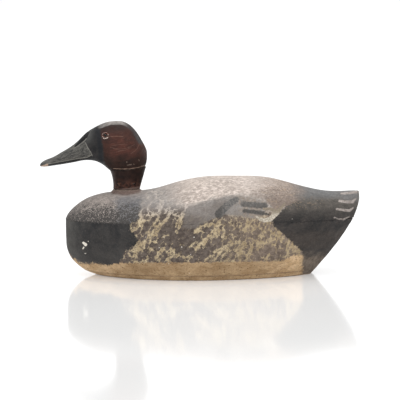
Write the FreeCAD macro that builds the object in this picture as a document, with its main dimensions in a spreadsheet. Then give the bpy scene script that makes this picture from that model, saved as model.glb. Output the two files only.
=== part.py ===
import FreeCAD, Part
import math
import os

# Floating duck decoy: a hollow, two-part carved wooden body on a thin bottom board,
# a separate neck and head with glass eyes, inlet lead ballast and a swinging line-tie ring.
# Millimetres. +X runs from bill to tail, +Y to the bird's right-hand side seen from
# ahead, +Z up. The origin is under the middle of the whole decoy, on its flat bottom.

Vector = FreeCAD.Vector
Y_AXIS, Z_AXIS = Vector(0, 1, 0), Vector(0, 0, 1)

DIMENSIONS = [
    ("bow_x", -177.4, "front of the breast"),
    ("tail_x", 209.5, "end of the tail"),
    ("bill_x", -209.5, "tip of the bill"),
    ("half_beam", 86.0, "greatest half width of the body"),
    ("sole_half_width", 67.0, "greatest half width of the flat bottom"),
    ("seam_level", 75.0, "seam between the upper and lower body"),
    ("board_thick", 6.0, "bottom board"),
    ("wall_thick", 16.0, "wood left round the hollow"),
    ("roof_thick", 17.0, "wood left above the hollow"),
    ("cavity_bow_x", -156.0, "front end of the hollow"),
    ("cavity_stern_x", 166.0, "rear end of the hollow"),
    ("neck_x", -96.5, "middle of the neck"),
    ("shelf_level", 113.0, "top of the raised shelf under the neck"),
    ("neck_half_length", 17.8, "neck at its foot, fore and aft"),
    ("neck_half_width", 16.5, "neck at its foot, across"),
    ("neck_seam_level", 139.8, "joint between neck and head, at its middle"),
    ("neck_seam_tilt", 4.7, "slope of that joint, degrees, rising to the rear"),
    ("neck_dowel_x", -104.0, "dowel through shelf, neck and head"),
    ("neck_dowel_radius", 5.0, "neck dowel"),
    ("neck_dowel_foot", 96.0, "lower end of the neck dowel"),
    ("neck_dowel_length", 66.0, "neck dowel"),
    ("head_screw_x", -87.0, "long screw from inside the hollow"),
    ("head_screw_radius", 2.4, "screw shank"),
    ("head_screw_foot", 90.6, "lower face of the screw's head"),
    ("head_screw_length", 72.0, "screw with its head"),
    ("washer_radius", 8.0, "washer under the screw's head"),
    ("washer_thick", 1.5, "washer under the screw's head"),
    ("body_dowel_radius", 4.0, "pegs between the body halves"),
    ("body_dowel_length", 20.0, "pegs between the body halves"),
    ("board_nail_length", 14.0, "nails up through the bottom board"),
    ("board_nail_inset", 6.0, "those nails stand in from the board's edge"),
    ("toe_nail_length", 22.0, "slanting nails at the foot of the neck"),
    ("cleat_length", 214.0, "strip inside the bottom board"),
    ("cleat_width", 26.0, "strip inside the bottom board"),
    ("cleat_height", 14.0, "strip inside the bottom board"),
    ("weight_x", 22.0, "middle of the lead weight"),
    ("weight_length", 104.0, "lead weight"),
    ("weight_width", 34.0, "lead weight"),
    ("weight_recess", 0.6, "lead sits this far above the bottom"),
    ("weight_gap", 0.4, "gap round the lead in its slot"),
    ("weight_screw_pitch", 36.0, "three screws in a row"),
    ("weight_screw_radius", 2.0, "screw shank"),
    ("weight_screw_head", 4.2, "countersunk head"),
    ("weight_screw_length", 17.0, "screw with its head"),
    ("head_screw_cap", 2.4, "thickness of the long screw's round head"),
    ("staple_x", -96.0, "middle of the line-tie staple"),
    ("staple_half_span", 4.0, "staple leg from its middle"),
    ("staple_bar_level", 1.5, "middle of the staple's bar"),
    ("staple_leg_top", 17.0, "tip of the staple's legs"),
    ("tie_wire_radius", 1.1, "wire of the staple and of the ring"),
    ("ring_radius", 10.0, "line-tie ring, to the middle of its wire"),
    ("ring_level", 3.8, "ring's wire where the staple holds it"),
    ("ring_droop", 7.0, "the ring's slope at rest, degrees"),
    ("recess_front", 9.0, "ring recess ahead of the staple"),
    ("recess_back", 26.0, "ring recess behind the staple"),
    ("recess_half_width", 14.0, "ring recess"),
    ("eye_x", -122.4, "middle of the eye"),
    ("eye_y", 20.2, "middle of the eye, out from the centre plane"),
    ("eye_level", 185.0, "middle of the eye"),
    ("eye_tilt", 24.0, "the eye looks up by this angle, degrees"),
    ("eye_toe", 7.0, "the eye looks forward by this angle, degrees"),
    ("eye_radius", 3.7, "glass eye"),
    ("eye_dome", 2.0, "the glass stands out this far"),
    ("pupil_radius", 2.0, "pupil"),
    ("putty_radius", 4.9, "putty ring"),
    ("eye_wire_radius", 0.6, "wire stem"),
    ("eye_wire_length", 11.0, "wire stem"),
]

# Front and rear of the lower body in the centre plane: height and x. The rear runs past
# the underside of the tail, which is cut afterwards.
BOW_LINE = [(0.0, -138.4), (3.0, -147.6), (8.0, -156.6), (15.0, -165.0), (24.0, -172.4),
            (36.0, -176.6), (55.0, -177.5), (75.0, -177.4)]
REAR_LINE = [(0.0, 153.0), (14.0, 165.0), (37.0, 184.5), (55.0, 198.0), (75.0, 212.0)]

# Ridge line of the back from the breast to the tail: x and height.
DECK_LINE = [
    (-177.4, 75.0), (-173.4, 82.0), (-164.5, 91.0), (-150.0, 100.5), (-134.0, 105.8),
    (-115.0, 108.8), (-95.0, 109.6), (-75.0, 110.2), (-55.0, 113.4), (-30.0, 120.8),
    (-8.0, 126.6), (20.0, 128.0), (55.0, 128.0), (80.0, 127.2), (104.0, 122.4),
    (130.0, 115.0), (152.0, 109.4), (170.0, 106.7), (190.0, 106.8), (204.0, 107.8),
    (212.0, 107.0),
]

# Underside of the tail, in the centre plane: a full curve from the sole to the tail's end.
STERN_LINE = [
    (144.5, 0.0), (161.5, 19.0), (177.0, 38.5), (192.6, 61.5), (201.8, 78.0), (209.5, 98.0),
]

# Head and bill, bill tip first: x, underside, top, half width, and how far up its
# greatest width is, as a share of its height.
HEAD_STATIONS = [
    (-208.6, 143.4, 148.0, 7.0, 0.45),
    (-205.5, 143.0, 150.4, 10.6, 0.42),
    (-199.0, 143.4, 153.4, 12.6, 0.38),
    (-184.0, 145.4, 160.6, 12.4, 0.34),
    (-168.0, 147.9, 170.0, 11.6, 0.32),
    (-158.0, 149.8, 178.4, 12.4, 0.34),
    (-149.0, 151.0, 187.2, 15.4, 0.38),
    (-140.0, 150.4, 193.0, 19.6, 0.40),
    (-131.0, 147.4, 197.6, 23.2, 0.40),
    (-122.0, 141.0, 201.0, 25.2, 0.40),
    (-112.0, 133.4, 202.4, 26.4, 0.41),
    (-102.0, 130.0, 202.2, 26.8, 0.42),
    (-93.0, 129.0, 198.6, 26.0, 0.44),
    (-85.0, 129.5, 191.2, 24.0, 0.45),
    (-78.0, 133.0, 181.2, 20.0, 0.46),
    (-72.5, 140.0, 171.2, 13.4, 0.47),
]
HEAD_REAR = (-69.2, 155.5)

NAIL_RADIUS, NAIL_HEAD_RADIUS, NAIL_HEAD_THICK = 0.9, 2.1, 0.8

doc = FreeCAD.newDocument("duck_decoy")
sheet = doc.addObject("Spreadsheet::Sheet", "Dimensions")
nodes = []


def fill_sheet():
    for row, (alias, value, note) in enumerate(DIMENSIONS, start=1):
        sheet.set(f"A{row}", note)
        sheet.set(f"B{row}", str(value))
        sheet.setAlias(f"B{row}", alias)
    doc.recompute()


def dim(alias):
    return float(sheet.get(alias))


def bind(item, **expressions):
    """Tie an object's properties to the sheet; x, y and z are its position."""
    places = {"x": "Placement.Base.x", "y": "Placement.Base.y", "z": "Placement.Base.z"}
    for name, expression in expressions.items():
        for alias, _, _ in DIMENSIONS:
            expression = expression.replace(f"${alias}", f"Dimensions.{alias}")
        item.setExpression(places.get(name, name), expression)
    return item


def node(item, label):
    """Name an object as one of the decoy's pieces."""
    item.Label = label
    nodes.append(item)
    return item


def feature(name, shape):
    """A shape that is carved freehand, or a group of equal fasteners."""
    item = doc.addObject("Part::Feature", name)
    item.Shape = shape
    item.Placement = shape.Placement
    return item


def cylinder(name, **expressions):
    return bind(doc.addObject("Part::Cylinder", name), **expressions)


def box(name, **expressions):
    return bind(doc.addObject("Part::Box", name), **expressions)


def boolean(kind, name, base, tool):
    item = doc.addObject(f"Part::{kind}", name)
    item.Base, item.Tool = base, tool
    return item


def fuse_all(name, parts):
    item = doc.addObject("Part::MultiFuse", name)
    item.Shapes = parts
    return item


def smooth_curve(points, **options):
    curve = Part.BSplineCurve()
    curve.interpolate(Points=points, **options)
    return curve.toShape()


def along(line, x):
    """Height of a smooth line of (x, height) points, by a cubic through each span."""
    for index in range(len(line) - 1):
        if x <= line[index + 1][0]:
            break
    before, after = max(index - 1, 0), min(index + 2, len(line) - 1)
    (x0, z0), (x1, z1) = line[index], line[index + 1]
    slope0 = (z1 - line[before][1]) / (x1 - line[before][0])
    slope1 = (line[after][1] - z0) / (line[after][0] - x0)
    span, share = x1 - x0, (x - x0) / (x1 - x0)
    rise = z0 * (1 + 2 * share) * (1 - share) ** 2 + z1 * share**2 * (3 - 2 * share)
    return rise + span * share * (1 - share) * (slope0 * (1 - share) - slope1 * share)


def plan_half_width(x, bow, stern, half_width, fullness):
    """Half width of the body's outline: round at the breast, a narrow paddle at the tail."""
    paddle = 0.25
    reach = x / (stern if x > 0 else bow)
    reach = min(max(reach, 0.0), 1.0)
    ends = max(1 - reach**2, 0.0)
    if x <= 0:
        return half_width * ends**fullness
    taper = ends ** (fullness + 0.22)
    return half_width * ((1 - paddle) * taper + paddle * math.sqrt(1 - reach**8))


def plan_wire(level, bow, stern, half_width, fullness):
    """Closed outline of the body at one height, as a left and a right half."""
    count = 22
    points = []
    for step in range(count + 1):
        turn = math.cos(math.pi * step / count)
        x = turn * bow if turn > 0 else -turn * stern
        points.append(Vector(x, plan_half_width(x, bow, stern, half_width, fullness), level))
    half = smooth_curve(points)
    return Part.Wire([half, half.mirror(Vector(0, 0, 0), Y_AXIS)])


def ellipse_wire(x, level, half_length, half_width):
    """Level ellipse, longer fore and aft."""
    points = []
    for step in range(16):
        turn = 2 * math.pi * step / 16
        points.append(Vector(x + half_length * math.cos(turn), half_width * math.sin(turn), level))
    return Part.Wire([smooth_curve(points, PeriodicFlag=True)])


def arch_wire(x, floor, top, half_width, squareness):
    """Upright arch across the body: flat at its foot, round over the back."""
    count = 9
    points = []
    for step in range(2 * count + 1):
        turn = math.pi * step / (2 * count)
        across, up = math.cos(turn), math.sin(turn)
        y = half_width * math.copysign(abs(across) ** (2 / squareness), across)
        points.append(Vector(x, y, floor + (top - floor) * up ** (2 / squareness)))
    arch = smooth_curve(points)
    return Part.Wire([arch, Part.makeLine(points[-1], points[0])])


def egg_wire(x, bottom, top, half_width, widest):
    """Upright egg across the head, widest low down and narrow over the crown."""
    middle = bottom + widest * (top - bottom)
    points = []
    for step in range(24):
        turn = 2 * math.pi * step / 24
        across, up = math.cos(turn), math.sin(turn)
        if up >= 0:
            y = half_width * math.copysign(abs(across) ** 1.12, across)
            z = middle + (top - middle) * up
        else:
            y = half_width * math.copysign(abs(across) ** 0.86, across)
            z = middle - (middle - bottom) * abs(up)
        points.append(Vector(x, y, z))
    return Part.Wire([smooth_curve(points, PeriodicFlag=True)])


def outline_at(level):
    """Front, rear, half width and fullness of the body's outline at a height."""
    share = level / dim("seam_level")
    narrow, wide = dim("sole_half_width"), dim("half_beam")
    half_width = narrow + (wide - narrow) * (1 - (1 - share) ** 2)
    fullness = 0.50 + 0.22 * (1 - share) ** 2
    return along(BOW_LINE, level), along(REAR_LINE, level), half_width, fullness


def lower_body_blank():
    count = 14
    levels = [dim("seam_level") * step / count for step in range(count + 1)]
    return Part.makeLoft([plan_wire(level, *outline_at(level)) for level in levels], True, False)


def upper_body_blank():
    floor = dim("seam_level")
    bow, stern, half_beam, fullness = outline_at(floor)
    wires = []
    for x in (-176.6, -175.0, -171, -164, -154, -140, -120, -95, -65, -30, 10, 50, 85, 115, 142,
              165, 185, 200, 209.5):
        half_width = plan_half_width(x, bow, stern, half_beam, fullness)
        squareness = 2.15 + 0.75 * max(0.0, x / stern) ** 2
        wires.append(arch_wire(x, floor, along(DECK_LINE, x), half_width, squareness))
    return Part.makeLoft(wires, True, False)


def stern_cut():
    """Block of space behind and under the tail."""
    points = [Vector(x, 0, z) for x, z in STERN_LINE]
    curve = smooth_curve(points)
    far, low = dim("tail_x") + 30, -10
    corners = [points[-1], Vector(dim("tail_x"), 0, 130), Vector(far, 0, 130),
               Vector(far, 0, low), Vector(points[0].x, 0, low), points[0]]
    sides = [Part.makeLine(a, b) for a, b in zip(corners, corners[1:])]
    face = Part.Face(Part.Wire([curve] + sides))
    face.translate(Vector(0, -100, 0))
    return face.extrude(Vector(0, 200, 0))


def hollow_wire(x, bottom, top, middle, half_width):
    """Upright rounded box across the hollow."""
    points = []
    for step in range(20):
        turn = 2 * math.pi * step / 20
        across, up = math.cos(turn), math.sin(turn)
        y = half_width * math.copysign(abs(across) ** 0.7, across)
        rise = top - middle if up > 0 else middle - bottom
        points.append(Vector(x, y, middle + rise * math.copysign(abs(up) ** 0.8, up)))
    return Part.Wire([smooth_curve(points, PeriodicFlag=True)])


def cavity_blank():
    """The hollow: a smooth closed space that both halves and the board's top close."""
    bow, stern, seam = dim("cavity_bow_x"), dim("cavity_stern_x"), dim("seam_level")
    half_width = dim("half_beam") - dim("wall_thick")
    wires = [Part.Vertex(Vector(bow, 0, seam - 14))]
    count = 14
    for step in range(1, count):
        turn = math.cos(math.pi * step / count)
        x = turn * bow if turn > 0 else -turn * stern
        swell = math.sqrt(1 - abs(turn) ** 4)
        top = seam + (along(DECK_LINE, x) - dim("roof_thick") - seam) * swell
        bottom = seam - 14 - (seam - 8) * swell
        wires.append(hollow_wire(x, bottom, top, seam - 14,
                                 plan_half_width(x, bow, stern, half_width, 0.52)))
    wires.append(Part.Vertex(Vector(stern, 0, seam - 14)))
    return Part.makeLoft(wires, True, False)


def neck_shelf():
    """Raised seat under the neck, flaring into the breast."""
    x, top = dim("neck_x"), dim("shelf_level")
    length, width = dim("neck_half_length"), dim("neck_half_width")
    wires = [ellipse_wire(x + 4, top - 13, length + 17, width + 16),
             ellipse_wire(x + 2, top - 5, length + 7, width + 6),
             ellipse_wire(x + 0.5, top - 2, length + 2, width + 2),
             ellipse_wire(x, top, length, width)]
    return Part.makeLoft(wires, True, False)


def neck_blank():
    x, foot, top = dim("neck_x"), dim("shelf_level"), dim("neck_seam_level")
    length, width = dim("neck_half_length"), dim("neck_half_width")
    wires = [ellipse_wire(x, foot, length, width),
             ellipse_wire(x + 1.2, foot + 8, length + 1.0, width - 0.2),
             ellipse_wire(x + 1.8, foot + 16, length + 2.8, width + 1.0),
             ellipse_wire(x + 1.6, top, length + 6.2, width + 4.2),
             ellipse_wire(x + 1.2, top + 6, length + 9.5, width + 6.6)]
    return Part.makeLoft(wires, True, False)


def head_blank():
    tip_level = HEAD_STATIONS[0][1] + 1.6
    wires = [Part.Vertex(Vector(dim("bill_x"), 0, tip_level))]
    wires += [egg_wire(*station) for station in HEAD_STATIONS]
    wires.append(Part.Vertex(Vector(HEAD_REAR[0], 0, HEAD_REAR[1])))
    return Part.makeLoft(wires, True, False)


def above_neck_seam():
    """Half space above the sloping joint between neck and head, as a large block."""
    block = Part.makeBox(300, 200, 120, Vector(-150, -100, 0))
    block.rotate(Vector(0, 0, 0), Y_AXIS, -dim("neck_seam_tilt"))
    block.translate(Vector(dim("neck_x"), 0, dim("neck_seam_level")))
    return block


def nail(length):
    """Nail along +Z: the head's outer face is at the origin."""
    taper = 3 * NAIL_RADIUS
    shank = Part.makeCylinder(NAIL_RADIUS, length - taper)
    point = Part.makeCone(NAIL_RADIUS, 0.2, taper, Vector(0, 0, length - taper))
    head = Part.makeCylinder(NAIL_HEAD_RADIUS, NAIL_HEAD_THICK)
    return head.fuse(shank).fuse(point).removeSplitter()


def placed(shape, position, direction=Z_AXIS):
    """A copy of a shape modelled along +Z, moved to a place and turned along a direction."""
    copy = shape.copy()
    copy.Placement = FreeCAD.Placement(position, FreeCAD.Rotation(Z_AXIS, direction))
    return copy


def board_nails():
    """Nails driven up through the board into the walls of the lower half."""
    level, inset, count = 0.5, dim("board_nail_inset"), 14
    bow, stern, _, fullness = outline_at(0.0)
    solids = []
    for step in range(count):
        turn = 2 * math.pi * (step + 0.5) / count
        reach = math.cos(turn)
        x = reach * (bow + inset + 2) if reach > 0 else -reach * (stern - 22)
        y = plan_half_width(x, bow, stern, dim("sole_half_width"), fullness) - inset
        y = max(y, 5.0) * math.copysign(1.0, math.sin(turn))
        solids.append(placed(nail(dim("board_nail_length")), Vector(x, y, level)))
    return Part.makeCompound(solids)


def neck_toe_nails():
    """Four slanting nails from the foot of the neck into the shelf."""
    solids = []
    for lengthwise in (-1, 1):
        for side in (-1, 1):
            start = Vector(dim("neck_x") + 9 * lengthwise, 13.9 * side, dim("shelf_level") + 9)
            aim = Vector(-1.5 * lengthwise, -8 * side, -20)
            aim.normalize()
            solids.append(placed(nail(dim("toe_nail_length")), start, aim))
    return Part.makeCompound(solids)


def body_pegs():
    """Pegs across the body seam: bow, stern and one in each side wall."""
    radius, length = dim("body_dowel_radius"), dim("body_dowel_length")
    foot = dim("seam_level") - length / 2
    side_y = dim("half_beam") - dim("wall_thick") / 2 - 0.5
    places = [(dim("bow_x") + 13, 0), (dim("cavity_stern_x") + 12, 0), (5, side_y), (5, -side_y)]
    return Part.makeCompound(
        [Part.makeCylinder(radius, length, Vector(x, y, foot)) for x, y in places])


def wood_screw(shank, length, head_shape, cap):
    """Wood screw along +Z under a given head, whose slotted face is at the origin."""
    tip = 2.5 * shank
    solid = head_shape.fuse(Part.makeCylinder(shank, length - cap - tip, Vector(0, 0, cap)))
    solid = solid.fuse(Part.makeCone(shank, 0.2, tip, Vector(0, 0, length - tip)))
    slot = Part.makeBox(8 * shank, 0.9, 0.9, Vector(-4 * shank, -0.45, 0))
    return solid.removeSplitter().cut(slot)


def long_head_screw():
    shank, cap = dim("head_screw_radius"), dim("head_screw_cap")
    round_head = Part.makeCone(1.5 * shank, 2 * shank, cap / 2)
    round_head = round_head.fuse(Part.makeCylinder(2 * shank, cap / 2, Vector(0, 0, cap / 2)))
    return wood_screw(shank, dim("head_screw_length"), round_head, cap)


def weight_screw_places():
    pitch = dim("weight_screw_pitch")
    return [dim("weight_x") + pitch * step for step in (-1, 0, 1)]


def weight_screws():
    shank, head = dim("weight_screw_radius"), dim("weight_screw_head")
    cap = head - shank
    length = dim("weight_screw_length")
    screw = wood_screw(shank, length, Part.makeCone(head, shank, cap), cap)
    level = dim("weight_recess")
    return Part.makeCompound([placed(screw, Vector(x, 0, level)) for x in weight_screw_places()])


def staple():
    """Square-shouldered wire staple, its legs up in the cleat and its bar along X."""
    half, bar, top = dim("staple_half_span"), dim("staple_bar_level"), dim("staple_leg_top")
    bend, wire = 1.6, dim("tie_wire_radius")
    left, right = -half, half
    low = [Vector(left, 0, top), Vector(left, 0, bar + bend), Vector(left + bend, 0, bar),
           Vector(right - bend, 0, bar), Vector(right, 0, bar + bend), Vector(right, 0, top)]
    ease = bend * (1 - math.sqrt(0.5))
    corner_a = Vector(left + ease, 0, bar + ease)
    corner_b = Vector(right - ease, 0, bar + ease)
    path = Part.Wire([Part.makeLine(low[0], low[1]),
                      Part.Arc(low[1], corner_a, low[2]).toShape(),
                      Part.makeLine(low[2], low[3]),
                      Part.Arc(low[3], corner_b, low[4]).toShape(),
                      Part.makeLine(low[4], low[5])])
    section = Part.Wire([Part.makeCircle(wire, low[0], Z_AXIS)])
    solid = path.makePipeShell([section], True, False)
    solid.translate(Vector(dim("staple_x"), 0, 0))
    return solid


def eye_placement(side):
    """Outward axis of an eye: sideways, tilted up and toed forward."""
    tilt, toe = math.radians(dim("eye_tilt")), math.radians(dim("eye_toe"))
    outward = Vector(-math.sin(toe), side * math.cos(toe), 0) * math.cos(tilt)
    outward.z = math.sin(tilt)
    position = Vector(dim("eye_x"), side * dim("eye_y"), dim("eye_level"))
    return FreeCAD.Placement(position, FreeCAD.Rotation(Z_AXIS, outward))


def turned_body(name, profile, side):
    """PartDesign body revolved about the eye's outward axis from (radius, height) points."""
    body = doc.addObject("PartDesign::Body", name)
    sketch = body.newObject("Sketcher::SketchObject", f"{name}_profile")
    plane = [item for item in body.Origin.OriginFeatures if item.Role == "XZ_Plane"][0]
    sketch.AttachmentSupport = [(plane, "")]
    sketch.MapMode = "FlatFace"
    for start, end in zip(profile, profile[1:] + profile[:1]):
        if len(end) == 4:
            arc = Part.Arc(Vector(*start[:2], 0), Vector(*end[2:], 0), Vector(*end[:2], 0))
            sketch.addGeometry(arc, False)
        else:
            sketch.addGeometry(Part.LineSegment(Vector(*start[:2], 0), Vector(*end, 0)), False)
    turn = body.newObject("PartDesign::Revolution", f"{name}_turned")
    turn.Profile = sketch
    turn.ReferenceAxis = (sketch, ["V_Axis"])
    turn.Angle = 360
    body.Tip = turn
    body.Placement = eye_placement(side)
    return body


def plate_body(name, half_length, half_width, corner, thick, holes=()):
    """PartDesign plate lying on its XY plane, with rounded corners and round holes."""
    body = doc.addObject("PartDesign::Body", name)
    sketch = body.newObject("Sketcher::SketchObject", f"{name}_outline")
    plane = [item for item in body.Origin.OriginFeatures if item.Role == "XY_Plane"][0]
    sketch.AttachmentSupport = [(plane, "")]
    sketch.MapMode = "FlatFace"
    inner_x, inner_y = half_length - corner, half_width - corner
    for turn, (sx, sy) in enumerate([(1, 1), (-1, 1), (-1, -1), (1, -1)]):
        circle = Part.Circle(Vector(sx * inner_x, sy * inner_y, 0), Z_AXIS, corner)
        start = turn * math.pi / 2
        sketch.addGeometry(Part.ArcOfCircle(circle, start, start + math.pi / 2), False)
    edges = [(inner_x, half_width, -inner_x, half_width),
             (-half_length, inner_y, -half_length, -inner_y),
             (-inner_x, -half_width, inner_x, -half_width),
             (half_length, -inner_y, half_length, inner_y)]
    for x0, y0, x1, y1 in edges:
        sketch.addGeometry(Part.LineSegment(Vector(x0, y0, 0), Vector(x1, y1, 0)), False)
    for x, radius in holes:
        sketch.addGeometry(Part.Circle(Vector(x, 0, 0), Z_AXIS, radius), False)
    pad = body.newObject("PartDesign::Pad", f"{name}_pad")
    pad.Profile = sketch
    bind(pad, Length=thick)
    body.Tip = pad
    return body


def make_eye(name, side):
    glass, dome = dim("eye_radius"), dim("eye_dome")
    pupil, putty = dim("pupil_radius"), dim("putty_radius")
    wire, layer = dim("eye_wire_radius"), 0.6
    back = -1.0 - layer
    bed = back - 1.2
    rim = 0.2
    rise = dome - rim
    bend = (glass**2 + rise**2) / (2 * rise)
    half_angle = math.asin(glass / bend) / 2
    shoulder = (bend * math.sin(half_angle), dome - bend * (1 - math.cos(half_angle)))
    glass_profile = [(0, -1.0), (glass, -1.0), (glass, rim), (0, dome, *shoulder)]
    node(turned_body(f"{name}_eye_glass", glass_profile, side), f"{name}_eye_glass")
    iris_profile = [(pupil, back), (glass, back), (glass, -1.0), (pupil, -1.0)]
    node(turned_body(f"{name}_eye_iris", iris_profile, side), f"{name}_eye_iris")
    pupil_profile = [(0, back), (pupil, back), (pupil, -1.0), (0, -1.0)]
    node(turned_body(f"{name}_eye_pupil", pupil_profile, side), f"{name}_eye_pupil")
    stem = back - dim("eye_wire_length")
    wire_profile = [(0, stem), (wire, stem), (wire, back), (0, back)]
    node(turned_body(f"{name}_eye_wire", wire_profile, side), f"{name}_eye_wire")
    putty_profile = [(wire, bed), (putty, bed), (putty, 0.3), (glass + 0.35, 0.6),
                     (glass, rim), (glass, back), (wire, back)]
    node(turned_body(f"{name}_eye_putty", putty_profile, side), f"{name}_eye_putty")
    socket_profile = [(0, stem), (wire, stem), (wire, bed), (putty, bed), (putty, 8.0), (0, 8.0)]
    return turned_body(f"{name}_eye_socket", socket_profile, side)


def make_fastenings():
    """Dowels, screws and nails, and the holes that they make."""
    made = {}
    made["body_dowels"] = node(feature("body_dowels", body_pegs()), "body_dowels")
    made["neck_dowel"] = node(cylinder(
        "neck_dowel", Radius="$neck_dowel_radius", Height="$neck_dowel_length",
        x="$neck_dowel_x", z="$neck_dowel_foot"), "neck_dowel")
    screw = feature("head_screw", long_head_screw())
    bind(screw, x="$head_screw_x", z="$head_screw_foot")
    made["head_screw"] = node(screw, "head_screw")
    made["neck_nails"] = node(feature("neck_nails", neck_toe_nails()), "neck_nails")
    made["bottom_board_nails"] = node(
        feature("bottom_board_nails", board_nails()), "bottom_board_nails")
    made["lead_weight_screws"] = node(
        feature("lead_weight_screws", weight_screws()), "lead_weight_screws")
    made["line_tie_staple"] = node(feature("line_tie_staple", staple()), "line_tie_staple")
    return made


def make_body(made):
    """Upper half, lower half and bottom board, all cut from one outline."""
    stern = feature("stern_space", stern_cut())
    hollow = feature("hollow_space", cavity_blank())
    pegs = made["body_dowels"]

    upper = feature("upper_blank", upper_body_blank().fuse(neck_shelf()).removeSplitter())
    upper = boolean("Cut", "upper_trimmed", upper, stern)
    head_seat = cylinder("screw_head_seat", Radius="$washer_radius + 0.2", Height="20 mm",
                         x="$head_screw_x", z="$head_screw_foot + $head_screw_cap + $washer_thick - 20")
    holes = fuse_all("upper_holes", [hollow, pegs, made["neck_dowel"], made["head_screw"],
                                     made["neck_nails"], head_seat])
    node(boolean("Cut", "body_upper_half", upper, holes), "body_upper_half")

    lower = boolean("Cut", "lower_trimmed", feature("lower_blank", lower_body_blank()), stern)
    board_slab = box("board_slab", Length="500 mm", Width="300 mm", Height="$board_thick",
                     x="-250 mm", y="-150 mm", z="0 mm")
    nails = made["bottom_board_nails"]
    walls = boolean("Cut", "lower_above_board", lower, board_slab)
    holes = fuse_all("lower_holes", [hollow, pegs, nails])
    node(boolean("Cut", "body_lower_half", walls, holes), "body_lower_half")

    board = boolean("Common", "board_blank", lower, board_slab)
    weight_slot = plate_body("weight_slot", dim("weight_length") / 2 + dim("weight_gap"),
                             dim("weight_width") / 2 + dim("weight_gap"), 6.4, "$board_thick + 2")
    bind(weight_slot, x="$weight_x", z="-1 mm")
    middle = (dim("recess_back") - dim("recess_front")) / 2
    ring_slot = plate_body("ring_slot", (dim("recess_back") + dim("recess_front")) / 2,
                           dim("recess_half_width"), 8.0, "$board_thick + 2")
    ring_slot.setExpression("Placement.Base.x", f"Dimensions.staple_x + {middle}")
    bind(ring_slot, z="-1 mm")
    holes = fuse_all("board_holes", [weight_slot, ring_slot, nails])
    node(boolean("Cut", "bottom_board", board, holes), "bottom_board")


def make_ballast_and_tie(made):
    """Inner cleat, lead weight and line-tie ring."""
    cleat = plate_body("cleat_blank", dim("cleat_length") / 2, dim("cleat_width") / 2, 4.0,
                       "$cleat_height")
    bind(cleat, x="-2 mm", z="$board_thick")
    holes = fuse_all("cleat_holes", [made["lead_weight_screws"], made["line_tie_staple"]])
    node(boolean("Cut", "inner_cleat", cleat, holes), "inner_cleat")
    lead = plate_body("weight_blank", dim("weight_length") / 2, dim("weight_width") / 2, 6.0,
                      "$board_thick - $weight_recess")
    bind(lead, x="$weight_x", z="$weight_recess")
    node(boolean("Cut", "lead_weight", lead, made["lead_weight_screws"]), "lead_weight")

    ring = doc.addObject("Part::Torus", "line_tie_ring")
    bind(ring, Radius1="$ring_radius", Radius2="$tie_wire_radius")
    droop = math.radians(dim("ring_droop"))
    reach = dim("ring_radius")
    centre = Vector(dim("staple_x") + reach * math.cos(droop), 0,
                    dim("ring_level") - reach * math.sin(droop))
    ring.Placement = FreeCAD.Placement(centre, FreeCAD.Rotation(Y_AXIS, dim("ring_droop")))
    node(ring, "line_tie_ring")


def make_head_and_neck(made):
    upper_space = feature("head_space", above_neck_seam())
    sockets = [make_eye("left", 1), make_eye("right", -1)]
    head = boolean("Common", "head_above_seam", feature("head_blank", head_blank()), upper_space)
    holes = fuse_all("head_holes", sockets + [made["neck_dowel"], made["head_screw"]])
    node(boolean("Cut", "head_block", head, holes), "head_block")

    neck = boolean("Cut", "neck_below_seam", feature("neck_blank", neck_blank()), upper_space)
    holes = fuse_all("neck_holes", [made["neck_dowel"], made["head_screw"], made["neck_nails"]])
    node(boolean("Cut", "neck_block", neck, holes), "neck_block")

    washer = plate_body("head_screw_washer", dim("washer_radius"), dim("washer_radius"),
                        dim("washer_radius") - 0.01, "$washer_thick",
                        [(0.0, dim("head_screw_radius") + 0.2)])
    bind(washer, x="$head_screw_x", z="$head_screw_foot + $head_screw_cap")
    node(washer, "head_screw_washer")


def check_everything():
    for item in doc.Objects:
        if any(word in item.State for word in ("Invalid", "Error")):
            raise RuntimeError(f"{item.Label} failed: {item.State}")
    for item in nodes:
        if item.Shape.isNull() or not item.Shape.isValid() or not item.Shape.Solids:
            raise RuntimeError(f"{item.Label} has no valid solid")


def write_parts():
    os.makedirs("parts", exist_ok=True)
    for item in nodes:
        item.Shape.exportStep(f"parts/{item.Label}.step")
        box_ = item.Shape.BoundBox
        print(f"{item.Label:22s} solids {len(item.Shape.Solids):2d} volume {item.Shape.Volume:10.1f}"
              f"  x {box_.XMin:7.1f} {box_.XMax:7.1f}  y {box_.YMin:6.1f} {box_.YMax:6.1f}"
              f"  z {box_.ZMin:6.1f} {box_.ZMax:6.1f}")


fill_sheet()
fastenings = make_fastenings()
doc.recompute()
make_body(fastenings)
make_ballast_and_tie(fastenings)
make_head_and_neck(fastenings)
doc.recompute()
check_everything()
write_parts()
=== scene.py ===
import math

import bpy
import numpy as np
from mathutils import Matrix, Vector, noise
from mathutils.bvhtree import BVHTree


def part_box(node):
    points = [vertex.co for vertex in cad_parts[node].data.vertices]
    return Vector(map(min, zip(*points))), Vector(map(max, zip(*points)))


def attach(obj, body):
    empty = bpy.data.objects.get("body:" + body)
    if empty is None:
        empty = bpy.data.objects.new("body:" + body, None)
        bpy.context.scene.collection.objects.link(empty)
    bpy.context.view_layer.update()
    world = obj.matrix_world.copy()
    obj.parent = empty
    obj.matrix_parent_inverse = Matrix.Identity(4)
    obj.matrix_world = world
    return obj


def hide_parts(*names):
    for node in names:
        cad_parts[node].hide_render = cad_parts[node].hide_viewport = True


# Looks of a floating duck decoy: carved wood under old, worn paint, built round the
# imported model. Metres, +X from bill to tail, +Z up. The paint is laid out on a side
# elevation in millimetres: (along, height) pairs, the same on both flanks.

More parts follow.
